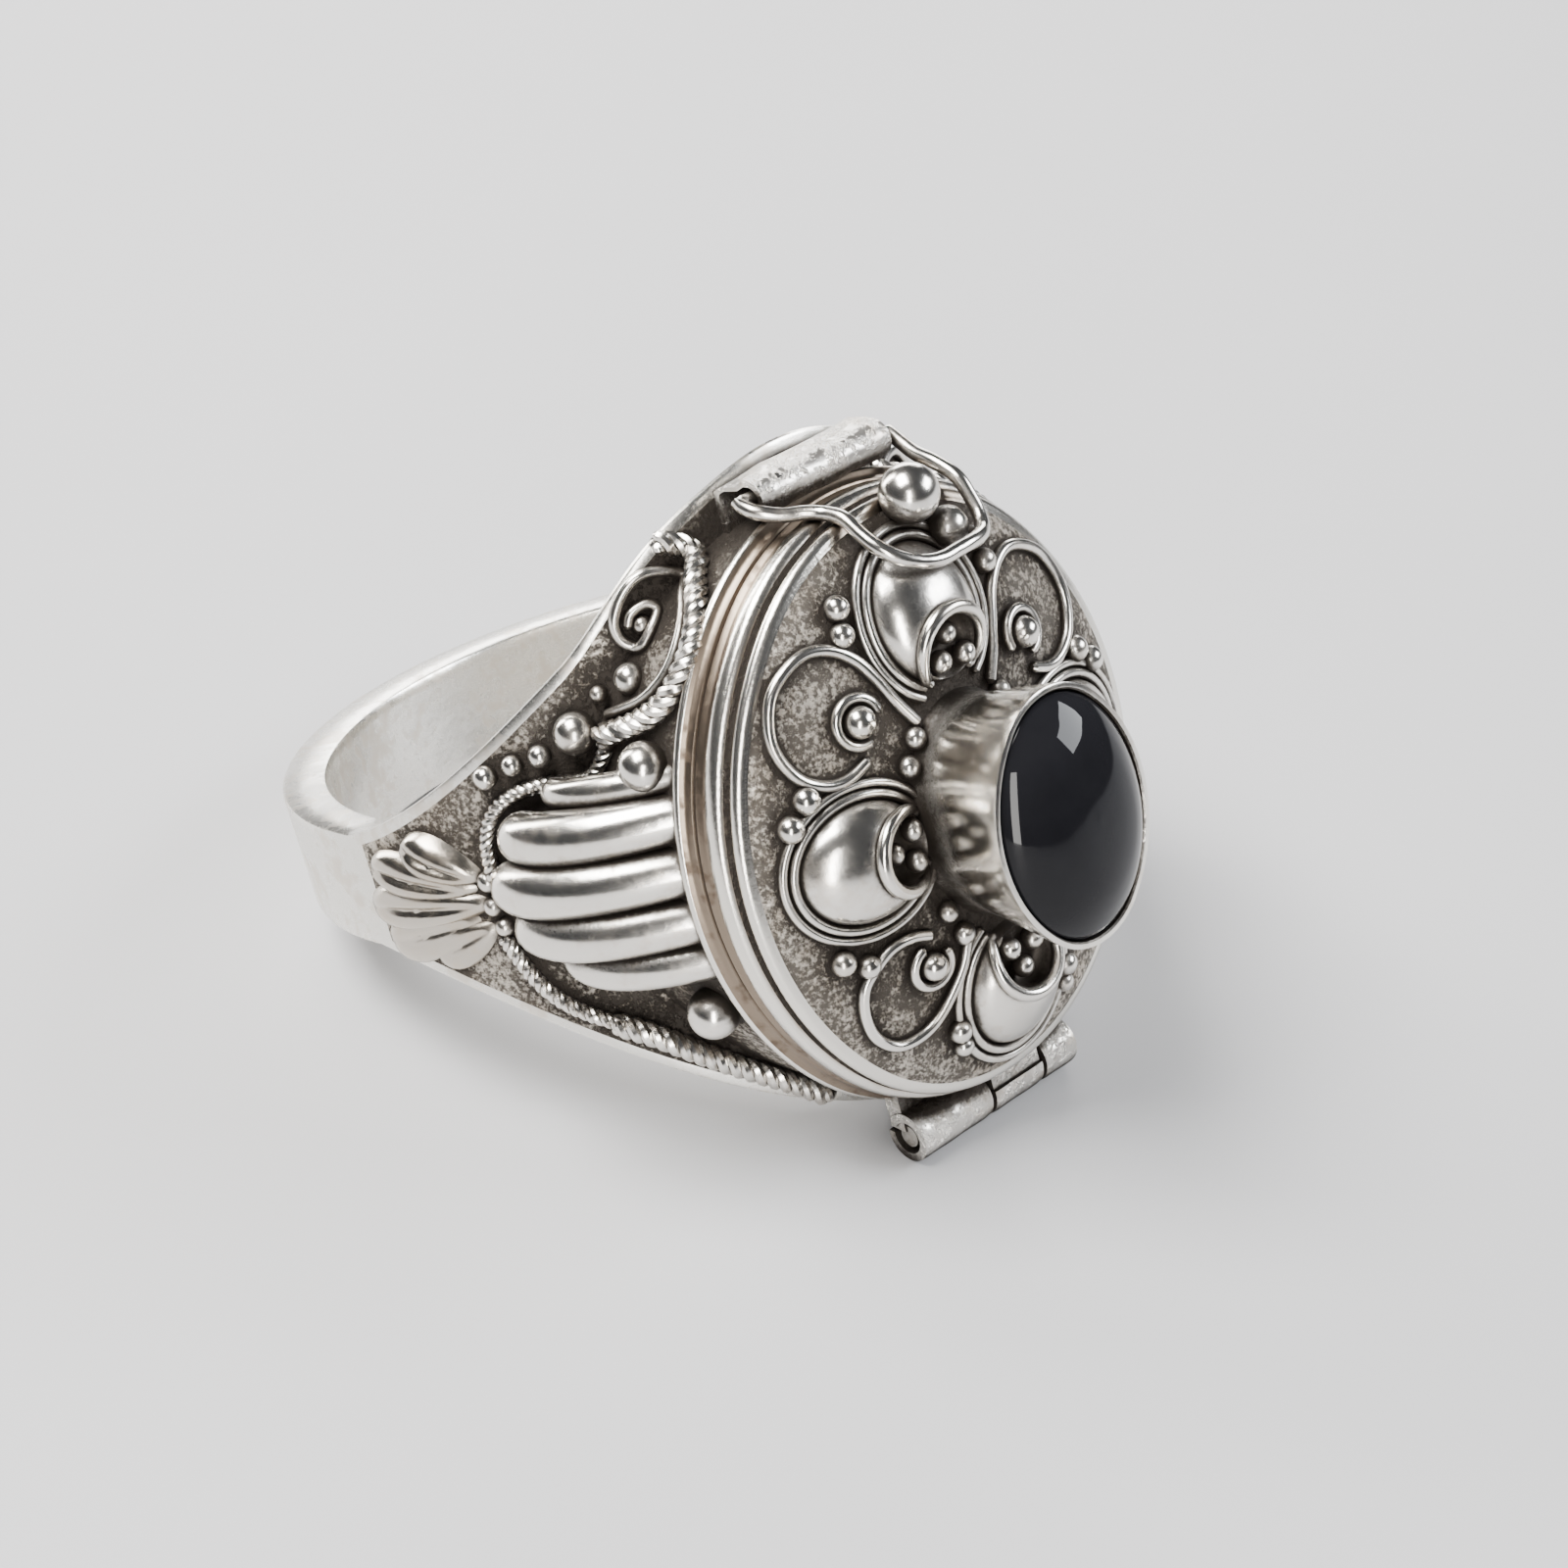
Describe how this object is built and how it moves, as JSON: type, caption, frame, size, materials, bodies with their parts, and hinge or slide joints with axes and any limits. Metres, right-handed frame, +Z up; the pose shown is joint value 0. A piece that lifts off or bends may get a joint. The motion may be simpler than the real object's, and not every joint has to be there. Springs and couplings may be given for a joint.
{
  "type": "poison ring",
  "caption": "Oval locket ring with a hinged domed lid, a black oval stone, a wire bail catch and ornamented shoulders on a tapered band.",
  "frame": {"origin": "centre of the finger hole, on its axis, level with the middle of the hinged head", "axes": "+Z up as the ring rests on its hinge barrel and the back of its band; +X is the longest way, from the band's back to the stone; +Y along the lid's hinge"},
  "size_m": [0.0301, 0.022, 0.0196],
  "materials": {
    "silver": "oxidised silver, polished on the high parts",
    "black_stone": "polished black stone"
  },
  "bodies": {
    "ring": {"ring_body": "silver", "hinge_pin": "silver"},
    "lid": {"lid": "silver", "stone": "black_stone"},
    "bail": {"latch_bail": "silver"}
  },
  "joints": [
    {"name": "lid_hinge", "type": "hinge", "parent": "ring", "child": "lid", "pos_m": [0.01487, 0, -0.00474], "axis": [0, 1, 0], "range_deg": [0, 105]},
    {"name": "bail_swing", "type": "hinge", "parent": "ring", "child": "bail", "pos_m": [0.00765, 0, 0.01306], "axis": [0, -1, 0], "range_deg": [0, 150]}
  ]
}
